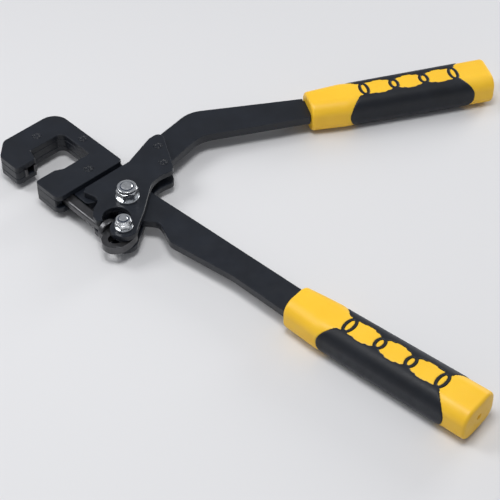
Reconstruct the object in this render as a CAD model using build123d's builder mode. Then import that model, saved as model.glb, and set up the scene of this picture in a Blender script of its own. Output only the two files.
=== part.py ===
from build123d import *
from math import acos, asin, atan2, cos, degrees, hypot, radians, sin
import os

# A two-handed section crimper lying flat.  The jaw handle carries a C-shaped jaw, the drive
# handle turns on the pivot bolt and pushes a punch slide across the throat of the jaw.
# The pivot axis is Z, the punch travels along -X and the throat opens towards -Y.

# ---- plates ----
jaw_thickness = 6.0
cheek_thickness = 4.5
jaw_cover_thickness = 4.5
side_clearance = 0.3
plate_edge = 0.4

# ---- jaw ----
neck_reach = 31.0
rear_leg_width = 21.0
rear_lip = 3.0
throat_gap = 18.5
front_lip = 8.8
front_leg_width = 21.2
throat_depth = 46.0
spine_width = 12.0
tip_margin = 11.2
die_width = 10.0
die_proud = 1.0
die_back = 5.0
die_seat_clearance = 0.05
die_edge = 0.5
cover_step = 1.5
spine_rivet_depth = 5.0
strip_inset = 3.0
strip_edge = 0.6

# ---- drive ----
drive_depth = 20.6
punch_overlap = 2.0
die_floor_clearance = 3.0
sleeve_radius = 4.0
slot_clearance = 0.3
yoke_wall = 4.2
yoke_gap = 1.35
running_clearance = 0.05

# ---- punch slide ----
punch_bar_width = 8.0
punch_bar_edge = 1.6
guide_clearance = 0.15
collar_radius = 7.6
collar_thickness = 4.0
collar_edge = 0.6
collar_lead = 10.0
tip_width = 5.0
tip_thickness = 3.6
tip_seat = 11.5
tip_pin_radius = 1.2
tip_pin_sink = 0.1
tip_pin_edge = 0.3
sheet_gap = 1.5

# ---- pivot joint ----
pivot_shank_radius = 4.0
pivot_head_height = 5.3
pivot_head_flats = 13.0
pivot_washer_radius = 8.0
pivot_nut_height = 8.0
bush_radius = 6.0
neck_radius = 13.0
washer_thickness = 1.6
bolt_hole_clearance = 0.05
thread_end = 1.2
lock_ring_height = 1.6
lock_ring_sink = 0.2
lock_ring_wall = 0.7
nut_collar_edge = 0.4
nut_shoulder = 0.6
hexagon_bevel = -60.0
turned_edge = 0.25

# ---- drive bolt ----
drive_shank_radius = 3.0
drive_head_height = 4.0
drive_head_flats = 10.0
drive_washer_radius = 6.0
drive_nut_height = 6.0
ear_radius = 9.2
ear_inset_share = 0.97
notch_radius = 9.4
notch_back = 10.9
notch_rise = 2.9
nose_drop = 4.6
cheek_waist = (18.0, -1.0)

# ---- rivets ----
rivet_radius = 3.0
rivet_dome = 0.4
rivet_bevel = 0.36
handle_rivet_inset = 5.6

# ---- handles ----
lower_bar_angle = 3.8
upper_bar_angle = 60.5
bar_reach = 143.0
bar_root_width = 25.5
bar_end_width = 21.5
bar_end_gap = 0.8
bar_lean = 1.5
cheek_end = 36.0
lower_bar_offset = 4.9
upper_bar_offset = 67.0
tang_width = 16.0
tang_length = 104.0
tang_root = 6.0
tang_clearance = 0.1
lower_grip_turn = 2.4
upper_grip_turn = 1.0
lower_grip_offset = 5.5
upper_grip_offset = 65.0

# ---- grips ----
grip_length = 137.0
grip_front_width = 26.0
collar_length = 27.0
collar_width = 30.6
waist_length = 6.0
waist_width = 29.0
collar_blend = 20.0
waist_blend = 8.0
grip_rear_width = 31.6
grip_thickness = 24.0
grip_edge = 9.0
grip_end_edge = 2.2
shoulder_length = 17.0
shoulder_width = 12.4
bulge_length = 9.0
bulge_width = 14.6
island_corner = 2.0
rings = 4
first_ring = 42.0
ring_pitch = 22.6
end_ring_span = 14.0
middle_ring_span = 11.0
ring_width = 7.4
ring_band = 1.9
ring_depth = 1.5
ring_tie = 0.4
pad_start = 28.0
pad_end_margin = 15.5
overmould_gap = 0.05
end_mark_radius = 2.0
end_mark_depth = 1.5

# ---- worked out ----
punch_travel = throat_gap + punch_overlap
drive_radius = hypot(punch_travel, drive_depth)
closing_angle = degrees(asin(punch_travel / drive_radius))
pin_x = punch_travel
pin_y = -drive_depth
punch_y = (pin_y - drive_radius) / 2
yoke_radius = sleeve_radius + slot_clearance + yoke_wall
cheek_gap = jaw_thickness + 2 * side_clearance
z_mid = pivot_head_height + cheek_thickness + cheek_gap / 2
cheek_top = z_mid + cheek_gap / 2 + cheek_thickness
cheek_bottom = z_mid - cheek_gap / 2 - cheek_thickness

rear_x = -neck_reach
window_rear_x = rear_x - rear_leg_width
punch_face_x = window_rear_x - rear_lip
die_face_x = punch_face_x - throat_gap
window_front_x = die_face_x - front_lip
front_x = window_front_x - front_leg_width
tip_y = punch_y - tip_margin
cover_low_y = tip_y + cover_step
window_y = tip_y + throat_depth
spine_y = window_y + spine_width
guide_half = punch_bar_width / 2 + guide_clearance
bar_end = bar_reach - bar_end_gap
bar_end_half = bar_end_width / 2
bar_root_half = bar_root_width / 2
lip_y = punch_y + die_width / 2
tip_nose = punch_overlap + die_proud + sheet_gap
bar_front_x = punch_face_x + tip_nose

mid_plane = Plane.XY.offset(z_mid)
os.makedirs("parts", exist_ok=True)


def save(item, name):
    item.label = name
    export_step(item, f"parts/{name}.step")


def turned(angle, along, across):
    """A point given along and across a bar that leaves the pivot at an angle."""
    a = radians(angle)
    return (along * cos(a) - across * sin(a), along * sin(a) + across * cos(a))


def split_corners(corners):
    """Separates (x, y, radius) rows into points and their corner radii."""
    return [(x, y) for x, y, _ in corners], [radius for _, _, radius in corners]


def plate(corners, bottom, thickness, holes=(), cuts=()):
    """A flat plate with rounded corners, round (x, y, radius) holes and polygon cuts.
    Its edges and holes are chamfered, the cuts are left sharp."""
    points, radii = split_corners(corners)
    with BuildPart() as flat:
        with BuildSketch(Plane.XY.offset(bottom)):
            with BuildLine():
                FilletPolyline(*points, radius=radii, close=True)
            make_face()
            for x, y, radius in holes:
                with Locations((x, y)):
                    Circle(radius, mode=Mode.SUBTRACT)
        extrude(amount=thickness)
        chamfer(flat.faces().filter_by(Axis.Z).edges(), plate_edge)
        for cut in cuts:
            with BuildSketch(Plane.XY.offset(bottom)):
                with BuildLine():
                    Polyline(*cut, close=True)
                make_face()
            extrude(amount=thickness, mode=Mode.SUBTRACT)
    return flat


def ring(x, y, bottom, height, outer, inner, name):
    """A plain washer, bush or sleeve."""
    with BuildPart() as tube:
        with BuildSketch(Plane.XY.offset(bottom)):
            with Locations((x, y)):
                Circle(outer)
                Circle(inner, mode=Mode.SUBTRACT)
        extrude(amount=height)
        edge = min(turned_edge, (outer - inner) / 4)
        chamfer(tube.edges().filter_by(GeomType.CIRCLE), edge)
    save(tube.part, name)


def hex_bolt(x, y, bottom, head_height, flats, shank, top, name):
    """A hexagon bolt standing head down."""
    with BuildPart() as bolt:
        with BuildSketch(Plane.XY.offset(bottom)):
            with Locations((x, y)):
                RegularPolygon(flats / 2, 6, major_radius=False)
        extrude(amount=head_height)
        with BuildSketch(Plane.XY.offset(bottom)):
            with Locations((x, y)):
                Circle(flats / 2)
        extrude(amount=head_height, taper=hexagon_bevel, mode=Mode.INTERSECT)
        with BuildSketch(Plane.XY.offset(bottom + head_height)):
            with Locations((x, y)):
                Circle(shank)
        extrude(amount=top - bottom - head_height)
        chamfer(bolt.faces().sort_by(Axis.Z)[-1].edges(), shank / 5)
    save(bolt.part, name)


def lock_nut(x, y, bottom, height, flats, bore, name):
    """A lock nut: a hexagon with a round collar that holds a plastic ring."""
    hexagon = height - lock_ring_height - nut_shoulder
    ring_radius = bore + lock_ring_wall
    ring_bottom = bottom + height - lock_ring_height
    with BuildPart() as nut:
        with BuildSketch(Plane.XY.offset(bottom)):
            with Locations((x, y)):
                RegularPolygon(flats / 2, 6, major_radius=False)
        extrude(amount=hexagon)
        for end, direction in ((bottom, 1), (bottom + hexagon, -1)):
            with BuildSketch(Plane.XY.offset(end)):
                with Locations((x, y)):
                    Circle(flats / 2)
            extrude(amount=direction * hexagon, taper=hexagon_bevel, mode=Mode.INTERSECT)
        with BuildSketch(Plane.XY.offset(bottom + hexagon)):
            with Locations((x, y)):
                Circle(flats / 2)
        extrude(amount=height - hexagon)
        fillet(nut.faces().sort_by(Axis.Z)[-1].edges(), nut_collar_edge)
        with BuildSketch(Plane.XY.offset(bottom)):
            with Locations((x, y)):
                Circle(bore + bolt_hole_clearance)
        extrude(amount=height, mode=Mode.SUBTRACT)
        with BuildSketch(Plane.XY.offset(ring_bottom)):
            with Locations((x, y)):
                Circle(ring_radius)
        extrude(amount=lock_ring_height, mode=Mode.SUBTRACT)
    save(nut.part, name)
    ring(x, y, ring_bottom, lock_ring_height - lock_ring_sink, ring_radius,
         bore + bolt_hole_clearance, name + "_lock_ring")


def rivet_group(points, bottom, top, name):
    """Peened rivets, flush with the plates but for a low dome at each end."""
    with BuildPart() as group:
        for x, y in points:
            with BuildSketch(Plane.XY.offset(bottom - rivet_dome)):
                with Locations((x, y)):
                    Circle(rivet_radius)
            extrude(amount=top - bottom + 2 * rivet_dome)
        chamfer(group.faces().filter_by(Axis.Z).edges(), rivet_bevel)
    save(group.part, name)


# ---- jaw plates ----
window = [
    (punch_face_x, lip_y + 1.5, 2.0),
    (window_rear_x, lip_y + 7.5, 2.0),
    (window_rear_x, window_y, 1.5),
    (window_front_x, window_y, 5.0),
    (window_front_x, lip_y + 2.5, 1.0),
    (die_face_x, lip_y, 1.5),
    (die_face_x, tip_y, 2.5),
    (front_x + 11.5, tip_y, 5.0),
    (front_x, tip_y + 11.5, 6.0),
    (front_x, spine_y, 12.0),
]
rivet_points = [
    (front_x + 12.0, -4.5),
    ((window_front_x + window_rear_x) / 2, spine_y - spine_rivet_depth),
    (rear_x - rear_leg_width / 2 + 1.4, -0.4),
]
rivet_holes = [(x, y, rivet_radius) for x, y in rivet_points]

cover_corners = [
    (rear_x, spine_y, 3.0),
    (rear_x, cover_low_y, 5.0),
    (punch_face_x, cover_low_y, 2.5),
] + window
for label, bottom in (("top", z_mid + jaw_thickness / 2),
                      ("bottom", z_mid - jaw_thickness / 2 - jaw_cover_thickness)):
    cover = plate(cover_corners, bottom, jaw_cover_thickness, holes=rivet_holes)
    save(cover.part, f"jaw_cover_plate_{label}")

guide_top_y = punch_y + guide_half
neck_back_y = spine_y - 4.0
neck_low_y = pin_y + yoke_radius + yoke_gap
lower_bar = [
    turned(lower_bar_angle, 6.0, lower_bar_offset + bar_root_half),
    turned(lower_bar_angle, 47.0, lower_bar_offset + bar_root_half),
    turned(lower_bar_angle, bar_end, lower_bar_offset + bar_lean + bar_end_half),
    turned(lower_bar_angle, bar_end, lower_bar_offset + bar_lean - bar_end_half),
    turned(lower_bar_angle, 98.0, lower_bar_offset + 2.7 - bar_end_half),
    turned(lower_bar_angle, 47.0, lower_bar_offset - bar_root_half),
    turned(lower_bar_angle, 29.0, 0.5),
]
bar_radii = [8.0, 60.0, 0.0, 0.0, 60.0, 9.0, 6.0]
jaw_corners = [
    (rear_x, spine_y, 3.0),
    (rear_x + 5.0, neck_back_y, 6.0),
] + [(x, y, r) for (x, y), r in zip(lower_bar, bar_radii)] + [
    (neck_radius - 1.0, neck_low_y, 7.0),
    (-neck_radius, neck_low_y, 3.0),
    (rear_x + 13.0, guide_top_y, 3.0),
    (punch_face_x, guide_top_y, 0.5),
] + window
die_depth = punch_overlap + die_floor_clearance
die_length = die_proud + die_depth + die_back
die_half = die_width / 2 + die_seat_clearance
die_seat_x = die_face_x - die_length + die_proud - die_seat_clearance
die_pocket = [
    (die_face_x + 2, punch_y + die_half),
    (die_seat_x, punch_y + die_half),
    (die_seat_x, punch_y - die_half),
    (die_face_x + 2, punch_y - die_half),
]
bush_bore = (0.0, 0.0, bush_radius + running_clearance)
jaw_blank = plate(jaw_corners, z_mid - jaw_thickness / 2, jaw_thickness,
                  holes=rivet_holes + [bush_bore], cuts=[die_pocket])


def grip_plane(bar_angle, turn, offset):
    """The plane of a grip: X along the grip from its front end, Y across."""
    x, y = turned(bar_angle, bar_reach, offset)
    heading = radians(bar_angle + turn)
    return Plane(origin=(x, y, z_mid), x_dir=(cos(heading), sin(heading), 0), z_dir=(0, 0, 1))


lower_grip = grip_plane(lower_bar_angle, lower_grip_turn, lower_grip_offset)
upper_grip = grip_plane(upper_bar_angle, upper_grip_turn, upper_grip_offset)


def tang(plane, thickness, grow=0.0):
    """The narrow end of a bar inside its grip."""
    with BuildPart() as tongue:
        with BuildSketch(plane):
            with Locations((-tang_root, 0)):
                Rectangle(tang_length + tang_root + grow, tang_width + 2 * grow,
                          align=(Align.MIN, Align.CENTER))
        extrude(amount=thickness / 2 + grow, both=True)
    return tongue


lower_tang = tang(lower_grip, jaw_thickness)
with BuildPart() as jaw_plate:
    add(jaw_blank.part)
    add(lower_tang.part)
save(jaw_plate.part, "jaw_plate")

strip_inner_y = punch_y - guide_half
strip_length = rear_leg_width + rear_lip - strip_inset - 1.0
strip_width = strip_inner_y - cover_low_y
with BuildPart() as guide_strip:
    with BuildSketch(Plane.XY.offset(z_mid - jaw_thickness / 2)):
        with Locations((rear_x - strip_inset, strip_inner_y)):
            Rectangle(strip_length, strip_width, align=(Align.MAX, Align.MAX))
    extrude(amount=jaw_thickness)
    chamfer(guide_strip.edges().filter_by(Axis.Z), strip_edge)
save(guide_strip.part, "guide_strip")

with BuildPart() as die_insert:
    with BuildSketch(Plane.XY.offset(z_mid - jaw_thickness / 2)):
        with Locations((die_face_x + die_proud, punch_y)):
            Rectangle(die_length, die_width, align=(Align.MAX, Align.CENTER))
            Rectangle(die_depth + die_proud, tip_width + 2 * guide_clearance,
                      align=(Align.MAX, Align.CENTER), mode=Mode.SUBTRACT)
    extrude(amount=jaw_thickness)
    chamfer(die_insert.faces().sort_by(Axis.X)[-2:].edges().filter_by(Axis.Z), die_edge)
save(die_insert.part, "die_insert")

rivet_group(rivet_points, z_mid - jaw_thickness / 2 - jaw_cover_thickness,
            z_mid + jaw_thickness / 2 + jaw_cover_thickness, "jaw_rivets")

# ---- drive handle ----
cheek_front_x = rear_x + 4.3
cheek_sweep = neck_reach - 0.8
cheek_low = cheek_sweep * 0.59
notch_x = pin_x - notch_back
notch_y = pin_y + notch_rise
nose_y = punch_y - nose_drop
ear_run = hypot(cheek_waist[0] - pin_x, cheek_waist[1] - pin_y)
ear_side = atan2(cheek_waist[1] - pin_y, cheek_waist[0] - pin_x) - acos(ear_radius / ear_run)
ear_inset = ear_inset_share * ear_radius
cheek_corners = [
    (cheek_front_x, window_y + 14.0, 2.0),
    (cheek_front_x, -14.0, 2.0),
    (-(cheek_sweep ** 2 - cheek_low ** 2) ** 0.5, -cheek_low, 1.5),
    (-12.0, -14.6, 5.0),
    (punch_overlap - 9.2, nose_y + 6.4, 4.0),
    (punch_overlap - 3.8, nose_y + 1.0, 2.5),
    (punch_overlap + 1.0, nose_y, 1.5),
    (punch_overlap + 3.4, nose_y + 2.0, 1.5),
    (notch_x, notch_y, 1.0),
    (pin_x, pin_y, 0.0),
    (pin_x + ear_inset * cos(ear_side), pin_y + ear_inset * sin(ear_side), 0.0),
    cheek_waist + (12.0,),
    turned(upper_bar_angle, 20.0, 13.5) + (20.0,),
    turned(upper_bar_angle, cheek_end, 19.0) + (5.0,),
    turned(upper_bar_angle, cheek_end, 61.0) + (4.0,),
    turned(upper_bar_angle, 26.0, 55.6) + (8.0,),
]
handle_rivet_points = [
    turned(upper_bar_angle, cheek_end - handle_rivet_inset, 28.3),
    turned(upper_bar_angle, cheek_end - handle_rivet_inset, 46.0),
]
handle_rivet_holes = [(x, y, rivet_radius) for x, y in handle_rivet_points]
for label, bottom in (("top", cheek_top - cheek_thickness), ("bottom", cheek_bottom)):
    points, radii = split_corners(cheek_corners)
    with BuildPart() as cheek:
        with BuildSketch(Plane.XY.offset(bottom)):
            with BuildLine():
                FilletPolyline(*points, radius=radii, close=True)
            make_face()
        extrude(amount=cheek_thickness)
        with BuildSketch(Plane.XY.offset(bottom)):
            with Locations((notch_x, notch_y)):
                Circle(notch_radius)
        extrude(amount=cheek_thickness, mode=Mode.SUBTRACT)
        with BuildSketch(Plane.XY.offset(bottom)):
            with Locations((pin_x, pin_y)):
                Circle(ear_radius)
        extrude(amount=cheek_thickness)
        holes = [(0.0, 0.0, pivot_shank_radius + bolt_hole_clearance),
                 (pin_x, pin_y, drive_shank_radius + bolt_hole_clearance)]
        for x, y, radius in holes + handle_rivet_holes:
            with Locations((x, y, bottom)):
                Hole(radius, depth=2 * cheek_thickness)
        chamfer(cheek.faces().filter_by(Axis.Z).edges(), plate_edge)
    save(cheek.part, f"cheek_plate_{label}")

upper_bar = [
    turned(upper_bar_angle, 20.0, 18.0) + (6.0,),
    turned(upper_bar_angle, 38.0, 34.0) + (20.0,),
    turned(upper_bar_angle, 62.0, upper_bar_offset - bar_root_half) + (22.0,),
    turned(upper_bar_angle, bar_end, upper_bar_offset - bar_lean - bar_end_half) + (0.0,),
    turned(upper_bar_angle, bar_end, upper_bar_offset - bar_lean + bar_end_half) + (0.0,),
    turned(upper_bar_angle, 60.0, upper_bar_offset + 2.0 + bar_root_half) + (22.0,),
    turned(upper_bar_angle, 26.0, 55.6) + (6.0,),
    turned(upper_bar_angle, 12.0, 41.0) + (6.0,),
]
drive_blank = plate(upper_bar, z_mid - cheek_gap / 2, cheek_gap, holes=handle_rivet_holes)
upper_tang = tang(upper_grip, cheek_gap)
with BuildPart() as drive_bar:
    add(drive_blank.part)
    add(upper_tang.part)
save(drive_bar.part, "drive_bar")
rivet_group(handle_rivet_points, cheek_bottom, cheek_top, "handle_rivets")

# ---- pivot and drive bolts ----
pivot_top = cheek_top + washer_thickness + pivot_nut_height + thread_end
hex_bolt(0, 0, 0, pivot_head_height, pivot_head_flats, pivot_shank_radius, pivot_top, "pivot_bolt")
ring(0, 0, cheek_top, washer_thickness, pivot_washer_radius,
     pivot_shank_radius + bolt_hole_clearance, "pivot_washer")
lock_nut(0, 0, cheek_top + washer_thickness, pivot_nut_height, pivot_head_flats,
         pivot_shank_radius, "pivot_nut")
ring(0, 0, z_mid - cheek_gap / 2, cheek_gap, bush_radius,
     pivot_shank_radius + bolt_hole_clearance, "pivot_bush")

drive_top = cheek_top + washer_thickness + drive_nut_height + thread_end
hex_bolt(pin_x, pin_y, cheek_bottom - drive_head_height, drive_head_height, drive_head_flats,
         drive_shank_radius, drive_top, "drive_bolt")
ring(pin_x, pin_y, cheek_top, washer_thickness, drive_washer_radius,
     drive_shank_radius + bolt_hole_clearance, "drive_washer")
lock_nut(pin_x, pin_y, cheek_top + washer_thickness, drive_nut_height, drive_head_flats,
         drive_shank_radius, "drive_nut")
sleeve_length = cheek_gap - side_clearance
ring(pin_x, pin_y, z_mid - sleeve_length / 2, sleeve_length, sleeve_radius,
     drive_shank_radius + running_clearance, "drive_sleeve")

# ---- punch slide ----
# The sleeve runs in a bowed slot: the bow follows the pin's circle while the slide moves by
# equal steps, so the pin stays in the middle of the slot from open to closed.
def pin_track(share):
    """The pin seen from the slide, after a share of the stroke."""
    turn = radians(closing_angle) * (1 - share)
    return (drive_radius * sin(turn) + punch_travel * share, -drive_radius * cos(turn))


with BuildLine() as slot_line:
    for start in (0.0, 0.5):
        ThreePointArc(pin_track(start), pin_track(start + 0.25), pin_track(start + 0.5))
slot_path = slot_line.wires()[0]
slide_thickness = jaw_thickness - 2 * guide_clearance
collar_front_x = pin_x - collar_lead - collar_thickness
with BuildPart() as punch_slide:
    with BuildSketch(mid_plane):
        with Locations((bar_front_x, punch_y)):
            Rectangle(pin_x - bar_front_x - sleeve_radius - slot_clearance, punch_bar_width,
                      align=(Align.MIN, Align.CENTER))
    extrude(amount=slide_thickness / 2, both=True)
    fillet(punch_slide.edges().filter_by(Axis.X), punch_bar_edge)
    with BuildSketch(mid_plane):
        SlotArc(slot_path, 2 * yoke_radius)
        with Locations((pin_x - collar_lead, punch_y)):
            Rectangle(collar_lead - sleeve_radius - slot_clearance, 2 * collar_radius,
                      align=(Align.MIN, Align.CENTER))
    extrude(amount=slide_thickness / 2, both=True)
    with BuildSketch(mid_plane):
        SlotArc(slot_path, 2 * (sleeve_radius + slot_clearance))
    extrude(amount=jaw_thickness, both=True, mode=Mode.SUBTRACT)
    with BuildSketch(mid_plane):
        with Locations((bar_front_x, punch_y)):
            Rectangle(tip_seat, tip_width, align=(Align.MIN, Align.CENTER))
    extrude(amount=tip_thickness / 2, both=True, mode=Mode.SUBTRACT)
    with Locations((bar_front_x + tip_seat / 2, punch_y, z_mid)):
        Cylinder(tip_pin_radius, slide_thickness, mode=Mode.SUBTRACT)
save(punch_slide.part, "punch_slide")

with BuildPart() as punch_collar:
    with BuildSketch(Plane.YZ.offset(collar_front_x)):
        with Locations((punch_y, z_mid)):
            Circle(collar_radius)
            RectangleRounded(punch_bar_width, slide_thickness, punch_bar_edge, mode=Mode.SUBTRACT)
    extrude(amount=collar_thickness)
    rims = punch_collar.edges().filter_by(GeomType.CIRCLE).sort_by(SortBy.RADIUS)[-2:]
    chamfer(rims, collar_edge)
save(punch_collar.part, "punch_collar")

with BuildPart() as punch_tip:
    with BuildSketch(mid_plane):
        with BuildLine():
            Polyline((bar_front_x + tip_seat, punch_y - tip_width / 2),
                     (bar_front_x + tip_seat, punch_y + tip_width / 2),
                     (punch_face_x + tip_width / 3, punch_y + tip_width / 2),
                     (punch_face_x, punch_y + tip_width / 6),
                     (punch_face_x, punch_y - tip_width / 6),
                     (punch_face_x + tip_width / 3, punch_y - tip_width / 2), close=True)
        make_face()
    extrude(amount=tip_thickness / 2, both=True)
    with Locations((bar_front_x + tip_seat / 2, punch_y, z_mid)):
        Cylinder(tip_pin_radius, slide_thickness, mode=Mode.SUBTRACT)
save(punch_tip.part, "punch_tip")

with BuildPart() as tip_pin:
    with Locations((bar_front_x + tip_seat / 2, punch_y, z_mid)):
        Cylinder(tip_pin_radius, slide_thickness - tip_pin_sink)
    chamfer(tip_pin.edges(), tip_pin_edge)
save(tip_pin.part, "tip_pin")


# ---- grips ----
def grip_body(plane):
    """The whole outside of one grip, before it is divided into core and overmould."""
    stations = [(0, grip_front_width, 0), (collar_length, collar_width, collar_blend),
                (collar_length + waist_length, waist_width, waist_blend),
                (grip_length, grip_rear_width, 0)]
    right = [(along, -width / 2, radius) for along, width, radius in stations]
    left = [(along, width / 2, radius) for along, width, radius in reversed(stations)]
    points, radii = split_corners(right + left)
    with BuildPart() as body:
        with BuildSketch(plane):
            with BuildLine():
                FilletPolyline(*points, radius=radii, close=True)
            make_face()
        extrude(amount=grip_thickness / 2, both=True)
        rims = body.faces().filter_by(Axis.Z).edges()
        fillet(rims - rims.filter_by(Axis(plane.origin, plane.y_dir)), grip_edge)
        fillet(body.faces().filter_by(Axis(plane.origin, plane.x_dir)).edges(), grip_end_edge)
    return body


def ring_span(index):
    """How far a ring of the chain reaches across the grip."""
    return end_ring_span if index in (0, rings - 1) else middle_ring_span


def overmould_region(plane, grow):
    """What the soft overmould takes of a grip: a round-ended pad along each side, with a bay
    for every island of the yellow chain, and oval rings across the chain that join the pads."""
    pad_length = grip_length - pad_end_margin - pad_start
    side_plane = Plane(origin=plane.origin, x_dir=plane.x_dir, z_dir=-plane.y_dir)
    with BuildPart() as region:
        with BuildSketch(side_plane):
            with Locations((pad_start + pad_length / 2, 0)):
                SlotOverall(pad_length + 2 * grow, grip_thickness + 2 * grow)
        extrude(amount=grip_rear_width, both=True)
        with BuildSketch(plane):
            for index in range(rings):
                start = 0 if index == 0 else first_ring + (index - 0.5) * ring_pitch
                end = grip_length if index == rings - 1 else first_ring + (index + 0.5) * ring_pitch
                with Locations(((start + end) / 2, 0)):
                    Rectangle(end - start, ring_span(index) - 2 * (ring_tie + grow))
            for index in range(rings - 1):
                with Locations((first_ring + (index + 0.5) * ring_pitch, 0)):
                    RectangleRounded(shoulder_length - 2 * grow, shoulder_width - 2 * grow,
                                     island_corner)
                    RectangleRounded(bulge_length - 2 * grow, bulge_width - 2 * grow, island_corner)
        extrude(amount=grip_thickness, both=True, mode=Mode.SUBTRACT)
        for level in (grip_thickness / 2 - ring_depth - grow, -grip_thickness):
            with BuildSketch(plane.offset(level)):
                for index in range(rings):
                    span = ring_span(index)
                    with Locations((first_ring + index * ring_pitch, 0)):
                        Ellipse(ring_width / 2 + grow, span / 2 + grow)
                        Ellipse(ring_width / 2 - ring_band - grow, span / 2 - ring_band - grow,
                                mode=Mode.SUBTRACT)
            extrude(amount=grip_thickness / 2 + ring_depth + grow)
    return region


for handle, plane, thickness in (("lower", lower_grip, jaw_thickness),
                                 ("upper", upper_grip, cheek_gap)):
    body = grip_body(plane)
    pocket = tang(plane, thickness, tang_clearance)
    with BuildPart() as core:
        add(body.part)
        add(pocket.part, mode=Mode.SUBTRACT)
        add(overmould_region(plane, overmould_gap).part, mode=Mode.SUBTRACT)
        with Locations(plane * Location((grip_length, 0, 0))):
            Cylinder(end_mark_radius, 2 * end_mark_depth, rotation=(0, 90, 0), mode=Mode.SUBTRACT)
    save(core.part, f"{handle}_grip_core")
    with BuildPart() as overmould:
        add(body.part)
        add(pocket.part, mode=Mode.SUBTRACT)
        add(overmould_region(plane, 0.0).part, mode=Mode.INTERSECT)
    save(overmould.part, f"{handle}_grip_overmould")
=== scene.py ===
"""The looks of a long-handled section crimper: painted plates, plated nuts and two-shot grips."""
import math

import bmesh
import bpy
from bpy.props import FloatProperty, FloatVectorProperty, IntProperty, PointerProperty
from bpy.types import Operator, Panel, PropertyGroup
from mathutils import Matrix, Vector


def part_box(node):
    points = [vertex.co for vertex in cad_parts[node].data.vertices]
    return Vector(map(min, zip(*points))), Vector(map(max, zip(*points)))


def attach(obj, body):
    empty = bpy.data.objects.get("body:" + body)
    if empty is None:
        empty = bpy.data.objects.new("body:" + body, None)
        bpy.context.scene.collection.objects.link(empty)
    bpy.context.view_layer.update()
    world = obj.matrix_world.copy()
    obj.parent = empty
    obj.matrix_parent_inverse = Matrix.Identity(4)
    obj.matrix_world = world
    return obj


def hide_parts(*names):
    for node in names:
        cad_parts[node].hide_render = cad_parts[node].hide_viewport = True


bl_info = {
    "name": "Section Crimper",
    "version": (1, 0, 0),
    "blender": (4, 5, 0),
    "location": "3D View > Sidebar > Crimper",
    "description": "Builds the finishes, grips and rivets of a section crimper round its CAD frame",
    "category": "Object",
}

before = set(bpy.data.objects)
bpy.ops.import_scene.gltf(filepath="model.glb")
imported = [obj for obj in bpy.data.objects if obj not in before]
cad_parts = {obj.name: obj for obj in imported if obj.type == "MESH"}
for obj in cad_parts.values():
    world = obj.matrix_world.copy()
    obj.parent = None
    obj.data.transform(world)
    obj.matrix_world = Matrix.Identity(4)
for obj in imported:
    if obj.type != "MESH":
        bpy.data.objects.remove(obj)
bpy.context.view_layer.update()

MM = 0.001
PAINTED = ("jaw_plate", "jaw_cover_plate_top", "jaw_cover_plate_bottom", "guide_strip",
           "drive_bar", "cheek_plate_top", "cheek_plate_bottom")
JOINTS = {"pivot": ("bolt", "washer", "nut"), "drive": ("bolt", "washer", "nut", "sleeve")}
LOCK_RINGS = ("pivot_nut_lock_ring", "drive_nut_lock_ring")
GROUND_STEEL = ("punch_tip", "tip_pin", "pivot_bush")
OILED_STEEL = ("die_insert", "punch_slide", "punch_collar")
HANDLES = {"lower": "jaw_handle", "upper": "drive_handle"}
RIVETS = {"jaw_rivets": "jaw_handle", "handle_rivets": "drive_handle"}

# a rivet head's mesh, and its dents: where they lie, their spread, and their depth in domes
RIVET_SIDES = 60
RIVET_RINGS = 14
DENT_REACH = 0.58
DENT_WIDTH = 0.16
DENT_SPREAD = 0.62
DENT_DEPTH = 1.9

WELD_DISTANCE = 0.004 * MM
CORE_RELAX_PASSES = 6
PAD_RELAX_PASSES = 5
SLIDE_BRUSHING = (0.12, 1, 1)
EVEN_GRAIN = (1, 1, 1)

FLOOR_HALF_WIDTH = 3.0
SKY_COLOUR = (0.93, 0.95, 1.0, 1.0)
SKY_STRENGTH = 0.34
LAMP_TARGET = (0.06, 0.05, 0.0)
LAMPS = (  # name, place, size in metres and power in watts
    ("overhead", (0.15, -0.10, 1.10), 0.45, 6.5),
    ("left", (-0.65, -0.45, 0.85), 0.55, 5.0),
    ("back", (0.05, 1.15, 0.42), 0.50, 4.0),
)

FOCAL_LENGTH = 106.6
SENSOR_WIDTH = 36.0
CAMERA_PLACE = (0.5778, -0.4434, 0.6868)
CAMERA_ELEVATION = 44.67
CAMERA_HEADING = 46.09


# ---------------------------------------------------------------- settings
class CrimperSizes(PropertyGroup):
    """Sizes of the details that are added to the CAD frame."""

    mould_step: FloatProperty(
        name="Mould step", description="Mesh step of the soft-edged grips",
        default=0.45 * MM, unit="LENGTH")
    pad_proud: FloatProperty(
        name="Pad height", description="How far the soft overmould stands over the hard core",
        default=0.35 * MM, unit="LENGTH")
    rivet_dome: FloatProperty(
        name="Rivet dome", description="Height of a peened rivet head over its plate",
        default=0.38 * MM, unit="LENGTH")
    punch_marks: IntProperty(
        name="Punch marks", description="Staking marks round each rivet head", default=3)


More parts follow.
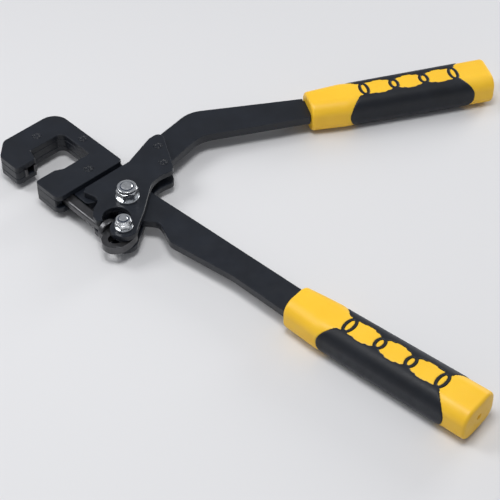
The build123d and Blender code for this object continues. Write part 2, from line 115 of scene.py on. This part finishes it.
class CrimperColours(PropertyGroup):
    """Base colours of the finishes."""

    paint: FloatVectorProperty(
        name="Paint", description="Black satin paint of the plates", subtype="COLOR",
        default=(0.0060, 0.0078, 0.0120))
    worn_paint: FloatVectorProperty(
        name="Worn paint", description="Paint that is thinned along the edges", subtype="COLOR",
        default=(0.060, 0.070, 0.092))
    zinc: FloatVectorProperty(
        name="Zinc", description="Bright plating of the nuts, bolts and washers", subtype="COLOR",
        default=(0.76, 0.78, 0.80))
    ground_steel: FloatVectorProperty(
        name="Ground steel", description="Bare steel of the punch's nose and the bush", subtype="COLOR",
        default=(0.44, 0.45, 0.47))
    oiled_steel: FloatVectorProperty(
        name="Oiled steel", description="Dark oiled steel of the slide and the die", subtype="COLOR",
        default=(0.115, 0.115, 0.12))
    nylon: FloatVectorProperty(
        name="Nylon", description="Plastic ring of the lock nuts", subtype="COLOR",
        default=(0.020, 0.030, 0.055))
    yellow: FloatVectorProperty(
        name="Yellow", description="Hard plastic of the grip cores", subtype="COLOR",
        default=(0.93, 0.56, 0.025))
    rubber: FloatVectorProperty(
        name="Rubber", description="Soft black overmould of the grips", subtype="COLOR",
        default=(0.0055, 0.0068, 0.0098))


# ---------------------------------------------------------------- materials
class Finish:
    """A material under construction: adds nodes and links by short calls."""

    def __init__(self, name):
        self.material = bpy.data.materials.new(name)
        self.material.use_nodes = True
        self.tree = self.material.node_tree
        self.shader = self.tree.nodes["Principled BSDF"]
        self.place = self.add("ShaderNodeTexCoord").outputs["Object"]

    def add(self, kind, **settings):
        node = self.tree.nodes.new(kind)
        for key, value in settings.items():
            setattr(node, key, value)
        return node

    def link(self, source, target):
        self.tree.links.new(source, target)

    def noise(self, scale, detail=3.0, roughness=0.55, stretch=None):
        """Noise in features per metre, stretched by (x, y, z) where given."""
        texture = self.add("ShaderNodeTexNoise")
        texture.inputs["Scale"].default_value = scale
        texture.inputs["Detail"].default_value = detail
        texture.inputs["Roughness"].default_value = roughness
        source = self.place
        if stretch:
            mapping = self.add("ShaderNodeMapping")
            mapping.inputs["Scale"].default_value = stretch
            self.link(source, mapping.inputs["Vector"])
            source = mapping.outputs["Vector"]
        self.link(source, texture.inputs["Vector"])
        return texture.outputs["Fac"]

    def ramp(self, source, low, high, from_low=0.3, from_high=0.7):
        """Maps a texture to the range low to high."""
        spread = self.add("ShaderNodeMapRange", clamp=True)
        spread.inputs["From Min"].default_value = from_low
        spread.inputs["From Max"].default_value = from_high
        spread.inputs["To Min"].default_value = low
        spread.inputs["To Max"].default_value = high
        self.link(source, spread.inputs["Value"])
        return spread.outputs["Result"]

    def mix(self, factor, first, second):
        """A colour between two colours or colour sockets."""
        blend = self.add("ShaderNodeMix", data_type="RGBA")
        self.link(factor, blend.inputs[0])
        for socket, value in ((blend.inputs[6], first), (blend.inputs[7], second)):
            if isinstance(value, bpy.types.NodeSocket):
                self.link(value, socket)
            else:
                socket.default_value = (*value, 1.0)
        return blend.outputs[2]

    def maths(self, operation, first, second):
        """A clamped sum, difference or product of two values or value sockets."""
        node = self.add("ShaderNodeMath", operation=operation, use_clamp=True)
        for socket, value in zip(node.inputs, (first, second)):
            if isinstance(value, bpy.types.NodeSocket):
                self.link(value, socket)
            else:
                socket.default_value = value
        return node.outputs[0]

    def edges(self, radius, sharp=0.02, soft=0.25):
        """A mask that is 1 along outer and inner edges and 0 on open faces."""
        bevel = self.add("ShaderNodeBevel", samples=6)
        bevel.inputs["Radius"].default_value = radius
        geometry = self.add("ShaderNodeNewGeometry")
        facing = self.add("ShaderNodeVectorMath", operation="DOT_PRODUCT")
        self.link(bevel.outputs["Normal"], facing.inputs[0])
        self.link(geometry.outputs["Normal"], facing.inputs[1])
        return self.ramp(self.maths("SUBTRACT", 1.0, facing.outputs["Value"]), 0, 1, sharp, soft)

    def bump(self, *layers):
        """Stacks (height socket, depth in metres, strength) layers on the shader's normal."""
        normal = None
        for height, depth, strength in layers:
            node = self.add("ShaderNodeBump")
            node.inputs["Distance"].default_value = depth
            node.inputs["Strength"].default_value = strength
            self.link(height, node.inputs["Height"])
            if normal is not None:
                self.link(normal, node.inputs["Normal"])
            normal = node.outputs["Normal"]
        self.link(normal, self.shader.inputs["Normal"])

    def set(self, **values):
        for key, value in values.items():
            self.shader.inputs[key.replace("_", " ")].default_value = value

    def drive(self, name, source):
        self.link(source, self.shader.inputs[name])


def paint_finish():
    """Black satin paint over steel plate, thinned along the edges."""
    colours = bpy.context.scene.crimper_colours
    finish = Finish("black_satin_paint")
    cloud = finish.noise(55, 4)
    fine = finish.noise(2600, 2)
    wear = finish.maths("MULTIPLY", finish.edges(0.45 * MM),
                        finish.ramp(finish.noise(420, 5, 0.7), 0.0, 1.0, 0.42, 0.62))
    body = finish.mix(finish.ramp(cloud, 0, 1), colours.paint, [c * 1.5 for c in colours.paint])
    finish.drive("Base Color", finish.mix(wear, body, colours.worn_paint))
    finish.drive("Roughness", finish.ramp(finish.noise(160, 5, 0.65), 0.30, 0.44))
    finish.set(Specular_IOR_Level=0.38, Coat_Weight=0.06, Coat_Roughness=0.35)
    finish.bump((fine, 0.02 * MM, 0.35), (finish.noise(380, 3), 0.05 * MM, 0.22))
    return finish.material


def metal_finish(name, colour, rough_low, rough_high, grain):
    """Bare metal with fine grain and a painted highlight along its edges; grain stretches the brushing.
    """
    finish = Finish(name)
    brushed = finish.noise(900, 4, 0.6, grain)
    stain = finish.ramp(finish.noise(240, 4), 0, 1)
    body = finish.mix(stain, colour, [c * 0.78 for c in colour])
    # painted highlight: the base colour is made half again as light along every edge
    edge_highlight_colour = [min(1.0, c * 1.5) for c in colour]
    finish.drive("Base Color", finish.mix(finish.edges(0.3 * MM), body, edge_highlight_colour))
    finish.drive("Roughness", finish.ramp(brushed, rough_low, rough_high))
    finish.set(Metallic=1.0)
    finish.bump((brushed, 0.01 * MM, 0.3))
    return finish.material


def turned_finish(name, colour, centre):
    """Plated metal with the fine rings that turning leaves round an upright axis, and a painted
    highlight along its edges.
    """
    finish = Finish(name)
    stain = finish.ramp(finish.noise(500, 4), 0, 1)
    # painted highlight: the zinc colour is made a little lighter along outer and inner edges
    edge_highlight_mask = finish.edges(0.5 * MM, 0.05, 0.5)
    body = finish.mix(stain, colour, [c * 0.84 for c in colour])
    finish.drive("Base Color", finish.mix(edge_highlight_mask, body, [min(1.0, c * 1.15) for c in colour]))
    shift = finish.add("ShaderNodeMapping")
    shift.inputs["Location"].default_value = (-centre.x, -centre.y, 0.0)
    finish.link(finish.place, shift.inputs["Vector"])
    rings = finish.add("ShaderNodeTexWave", wave_type="RINGS", rings_direction="Z")
    rings.inputs["Scale"].default_value = 900
    rings.inputs["Distortion"].default_value = 1.5
    finish.link(shift.outputs["Vector"], rings.inputs["Vector"])
    finish.drive("Roughness", finish.ramp(finish.noise(700, 4), 0.14, 0.30))
    finish.set(Metallic=1.0)
    finish.bump((rings.outputs["Fac"], 0.02 * MM, 0.35), (finish.noise(1200, 3), 0.02 * MM, 0.25))
    return finish.material


def nylon_finish():
    """Dark blue-black nylon, faintly mottled."""
    colours = bpy.context.scene.crimper_colours
    finish = Finish("lock_ring_nylon")
    tone = finish.ramp(finish.noise(900, 3), 0, 1)
    finish.drive("Base Color", finish.mix(tone, colours.nylon, [c * 1.6 for c in colours.nylon]))
    finish.drive("Roughness", finish.ramp(finish.noise(1500), 0.32, 0.46))
    finish.bump((finish.noise(2400, 2), 0.02 * MM, 0.25))
    return finish.material


def yellow_finish():
    """Moulded yellow plastic: faint flow mottling, spark-eroded grain and soft edges."""
    colours = bpy.context.scene.crimper_colours
    finish = Finish("moulded_yellow_plastic")
    flow = finish.ramp(finish.noise(38, 3, 0.5, (1, 1, 2.5)), 0, 1)
    deep_yellow = [c * f for c, f in zip(colours.yellow, (0.97, 0.93, 0.8))]
    body = finish.mix(flow, colours.yellow, deep_yellow)
    rubbed = finish.maths("MULTIPLY", finish.edges(0.9 * MM, 0.03, 0.4),
                          finish.ramp(finish.noise(300, 4), 0.0, 0.5))
    finish.drive("Base Color", finish.mix(rubbed, body, (0.97, 0.68, 0.12)))
    finish.drive("Roughness", finish.ramp(finish.noise(210, 4), 0.36, 0.50))
    finish.set(Subsurface_Weight=0.06, Subsurface_Radius=(0.002, 0.0012, 0.0003),
               Subsurface_Scale=1.0, Specular_IOR_Level=0.5)
    finish.bump((finish.noise(3400, 2), 0.025 * MM, 0.4), (finish.noise(90, 2), 0.12 * MM, 0.12))
    return finish.material


def rubber_finish():
    """Soft black elastomer with a matt grain and a faint bluish sheen."""
    colours = bpy.context.scene.crimper_colours
    finish = Finish("soft_black_rubber")
    tone = finish.ramp(finish.noise(70, 4), 0, 1)
    finish.drive("Base Color", finish.mix(tone, colours.rubber, [c * 1.7 for c in colours.rubber]))
    finish.drive("Roughness", finish.ramp(finish.noise(240, 5, 0.65), 0.40, 0.56))
    finish.set(Sheen_Weight=0.05, Sheen_Roughness=0.5, Sheen_Tint=(0.6, 0.7, 1.0, 1.0),
               Specular_IOR_Level=0.32)
    grain = finish.add("ShaderNodeTexVoronoi")
    grain.inputs["Scale"].default_value = 1700
    finish.link(finish.place, grain.inputs["Vector"])
    finish.bump((grain.outputs["Distance"], 0.04 * MM, 0.28), (finish.noise(150, 3), 0.1 * MM, 0.12))
    return finish.material


def coat(piece, material):
    """Gives a piece or a carried-over CAD node one finish."""
    piece.data.materials.clear()
    piece.data.materials.append(material)
    for face in piece.data.polygons:
        face.material_index = 0


# ---------------------------------------------------------------- mesh helpers
def new_piece(name, mesh, body):
    """Adds a piece that rides on a body."""
    piece = bpy.data.objects.new(name, mesh)
    bpy.context.scene.collection.objects.link(piece)
    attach(piece, body)
    return piece


def baked(piece):
    """The piece's mesh with its modifiers applied."""
    graph = bpy.context.evaluated_depsgraph_get()
    mesh = bpy.data.meshes.new_from_object(piece.evaluated_get(graph))
    piece.modifiers.clear()
    piece.data = mesh
    return mesh


def clean_copy(node):
    """A welded copy of a CAD node's mesh, without its materials."""
    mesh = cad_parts[node].data.copy()
    work = bmesh.new()
    work.from_mesh(mesh)
    bmesh.ops.remove_doubles(work, verts=work.verts, dist=WELD_DISTANCE)
    work.to_mesh(mesh)
    work.free()
    mesh.materials.clear()
    return mesh


def upright_centres(node):
    """The middle, in plan, and the radius of each separate upright solid of a CAD node."""
    work = bmesh.new()
    work.from_mesh(clean_copy(node))
    found = []
    loose = set(work.verts)
    while loose:
        group = {loose.pop()}
        edge = set(group)
        while edge:
            edge = {other for vertex in edge for link in vertex.link_edges
                    for other in link.verts} - group
            group |= edge
        loose -= group
        across = [vertex.co.x for vertex in group]
        along = [vertex.co.y for vertex in group]
        found.append(((min(across) + max(across)) / 2, (min(along) + max(along)) / 2,
                      (max(across) - min(across)) / 2))
    work.free()
    return sorted(found)


def rivet_rise(reach, angle, dome, marks):
    """Height of a peened head over its plate: a low dome with a crescent dent for each mark."""
    rise = dome * (1.0 - reach ** 4)
    spacing = math.tau / marks
    off = (angle + spacing / 2) % spacing - spacing / 2
    across = math.exp(-((reach - DENT_REACH) / DENT_WIDTH) ** 2)
    around = math.exp(-(off / DENT_SPREAD) ** 4)
    return rise - DENT_DEPTH * dome * across * around


def rivet_row(work, centre, radius, level, side, dome, marks):
    """One end of a rivet: rings of points out from its middle. Returns the outermost ring."""
    x, y = centre
    turn = [math.tau * step / RIVET_SIDES for step in range(RIVET_SIDES)]
    inner = None
    for ring in range(1, RIVET_RINGS + 1):
        reach = ring / RIVET_RINGS
        outer = []
        for angle in turn:
            rise = side * rivet_rise(reach, angle, dome, marks)
            outer.append(work.verts.new((x + radius * reach * math.cos(angle),
                                         y + radius * reach * math.sin(angle), level + rise)))
        if inner is None:
            middle = work.verts.new((x, y, level + side * dome))
            for first, second in zip(outer, outer[1:] + outer[:1]):
                work.faces.new((middle, first, second))
        else:
            for pair in zip(inner, inner[1:] + inner[:1], outer[1:] + outer[:1], outer):
                work.faces.new(pair)
        inner = outer
    return outer


def moulded(node, name, body, proud, passes):
    """A soft-edged version of a CAD solid: remeshed evenly, relaxed and swelled a little."""
    piece = new_piece(name, clean_copy(node), body)
    remesh = piece.modifiers.new("even", "REMESH")
    remesh.mode = "VOXEL"
    remesh.voxel_size = bpy.context.scene.crimper_sizes.mould_step
    relax = piece.modifiers.new("relax", "SMOOTH")
    relax.factor = 0.5
    relax.iterations = passes
    if proud:
        swell = piece.modifiers.new("swell", "DISPLACE")
        swell.strength = proud
        swell.mid_level = 0.0
    baked(piece)
    piece.data.shade_smooth()
    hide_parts(node)
    return piece


# ---------------------------------------------------------------- operators
class CRIMPER_OT_plates(Operator):
    """Paint the jaw plates, the cheeks and both bars"""

    bl_idname = "crimper.plates"
    bl_label = "Painted plates"

    def execute(self, context):
        paint = paint_finish()
        for node in PAINTED:
            coat(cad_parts[node], paint)
        return {"FINISHED"}


class CRIMPER_OT_fasteners(Operator):
    """Plate the nuts, bolts and washers and colour the nuts' plastic rings"""

    bl_idname = "crimper.fasteners"
    bl_label = "Nuts and bolts"

    def execute(self, context):
        colours = context.scene.crimper_colours
        for joint, pieces in JOINTS.items():
            low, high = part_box(f"{joint}_washer")
            zinc = turned_finish(f"{joint}_bright_zinc", colours.zinc, (low + high) / 2)
            for piece in pieces:
                coat(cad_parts[f"{joint}_{piece}"], zinc)
        nylon = nylon_finish()
        for node in LOCK_RINGS:
            coat(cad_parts[node], nylon)
        return {"FINISHED"}


class CRIMPER_OT_punch(Operator):
    """Finish the punch slide, its collar and tip, the die and the bush"""

    bl_idname = "crimper.punch"
    bl_label = "Punch and die"

    def execute(self, context):
        colours = context.scene.crimper_colours
        ground = metal_finish("ground_steel", colours.ground_steel, 0.22, 0.42, EVEN_GRAIN)
        for node in GROUND_STEEL:
            coat(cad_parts[node], ground)
        oiled = metal_finish("oiled_steel", colours.oiled_steel, 0.28, 0.46, SLIDE_BRUSHING)
        for node in OILED_STEEL:
            coat(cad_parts[node], oiled)
        return {"FINISHED"}


class CRIMPER_OT_rivets(Operator):
    """Peen and stake the rivets"""

    bl_idname = "crimper.rivets"
    bl_label = "Rivets"

    def execute(self, context):
        sizes = context.scene.crimper_sizes
        paint = bpy.data.materials["black_satin_paint"]
        for node, body in RIVETS.items():
            low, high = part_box(node)
            work = bmesh.new()
            for x, y, radius in upright_centres(node):
                rims = [rivet_row(work, (x, y), radius, level, side, sizes.rivet_dome,
                                  sizes.punch_marks)
                        for level, side in ((low.z + sizes.rivet_dome, -1),
                                            (high.z - sizes.rivet_dome, 1))]
                low_rim, high_rim = rims
                for side_face in zip(low_rim, low_rim[1:] + low_rim[:1],
                                     high_rim[1:] + high_rim[:1], high_rim):
                    work.faces.new(side_face)
            bmesh.ops.recalc_face_normals(work, faces=work.faces)
            mesh = bpy.data.meshes.new(f"staked_{node}")
            work.to_mesh(mesh)
            work.free()
            piece = new_piece(f"staked_{node}", mesh, body)
            mesh.shade_smooth()
            coat(piece, paint)
            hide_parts(node)
        return {"FINISHED"}


class CRIMPER_OT_grip_cores(Operator):
    """Mould the yellow cores of both grips"""

    bl_idname = "crimper.grip_cores"
    bl_label = "Grip cores"

    def execute(self, context):
        yellow = yellow_finish()
        for handle, body in HANDLES.items():
            core = moulded(f"{handle}_grip_core", f"{handle}_grip_shell", body,
                           0.0, CORE_RELAX_PASSES)
            coat(core, yellow)
        return {"FINISHED"}


class CRIMPER_OT_overmoulds(Operator):
    """Mould the soft black pads and rings of both grips"""

    bl_idname = "crimper.overmoulds"
    bl_label = "Soft overmoulds"

    def execute(self, context):
        sizes = context.scene.crimper_sizes
        rubber = rubber_finish()
        for handle, body in HANDLES.items():
            pad = moulded(f"{handle}_grip_overmould", f"{handle}_grip_pads", body,
                          sizes.pad_proud, PAD_RELAX_PASSES)
            coat(pad, rubber)
        return {"FINISHED"}


class CRIMPER_OT_stage(Operator):
    """Set out the floor, the soft lights and the camera"""

    bl_idname = "crimper.stage"
    bl_label = "Stage"

    def execute(self, context):
        self.floor(context)
        self.lights(context)
        self.camera(context)
        return {"FINISHED"}

    def floor(self, context):
        mesh = bpy.data.meshes.new("floor")
        work = bmesh.new()
        bmesh.ops.create_grid(work, x_segments=2, y_segments=2, size=FLOOR_HALF_WIDTH)
        work.to_mesh(mesh)
        work.free()
        floor = bpy.data.objects.new("floor", mesh)
        context.scene.collection.objects.link(floor)
        finish = Finish("pale_floor")
        finish.set(Base_Color=(0.68, 0.68, 0.69, 1.0), Roughness=0.5)
        coat(floor, finish.material)

    def lights(self, context):
        world = bpy.data.worlds.new("studio")
        world.use_nodes = True
        sky = world.node_tree.nodes["Background"]
        sky.inputs["Color"].default_value = SKY_COLOUR
        sky.inputs["Strength"].default_value = SKY_STRENGTH
        context.scene.world = world
        context.scene.view_settings.view_transform = "Standard"
        for name, place, size, power in LAMPS:
            lamp = bpy.data.lights.new(name, "AREA")
            lamp.shape = "DISK"
            lamp.size = size
            lamp.energy = power
            light = bpy.data.objects.new(name, lamp)
            light.location = place
            aim = Vector(LAMP_TARGET) - light.location
            light.rotation_euler = aim.to_track_quat("-Z", "Y").to_euler()
            context.scene.collection.objects.link(light)

    def camera(self, context):
        lens = bpy.data.cameras.new("camera")
        lens.lens = FOCAL_LENGTH
        lens.sensor_width = SENSOR_WIDTH
        eye = bpy.data.objects.new("camera", lens)
        eye.location = CAMERA_PLACE
        eye.rotation_euler = (math.radians(90 - CAMERA_ELEVATION), 0.0, math.radians(CAMERA_HEADING))
        context.scene.collection.objects.link(eye)
        context.scene.camera = eye


class CRIMPER_PT_panel(Panel):
    """Lists the crimper's pieces, sizes and colours"""

    bl_label = "Section crimper"
    bl_idname = "CRIMPER_PT_panel"
    bl_space_type = "VIEW_3D"
    bl_region_type = "UI"
    bl_category = "Crimper"

    def draw(self, context):
        layout = self.layout
        for step in STEPS:
            layout.operator(step.bl_idname)
        for group in (context.scene.crimper_sizes, context.scene.crimper_colours):
            box = layout.box()
            for key in type(group).__annotations__:
                box.prop(group, key)


STEPS = (CRIMPER_OT_plates, CRIMPER_OT_fasteners, CRIMPER_OT_punch, CRIMPER_OT_rivets,
         CRIMPER_OT_grip_cores, CRIMPER_OT_overmoulds, CRIMPER_OT_stage)
CLASSES = (CrimperSizes, CrimperColours, *STEPS, CRIMPER_PT_panel)


def register():
    for cls in CLASSES:
        bpy.utils.register_class(cls)
    bpy.types.Scene.crimper_sizes = PointerProperty(type=CrimperSizes)
    bpy.types.Scene.crimper_colours = PointerProperty(type=CrimperColours)


def unregister():
    del bpy.types.Scene.crimper_colours
    del bpy.types.Scene.crimper_sizes
    for cls in reversed(CLASSES):
        bpy.utils.unregister_class(cls)


def main():
    register()
    for step in STEPS:
        group, name = step.bl_idname.split(".")
        getattr(getattr(bpy.ops, group), name)()


if __name__ == "__main__":
    main()
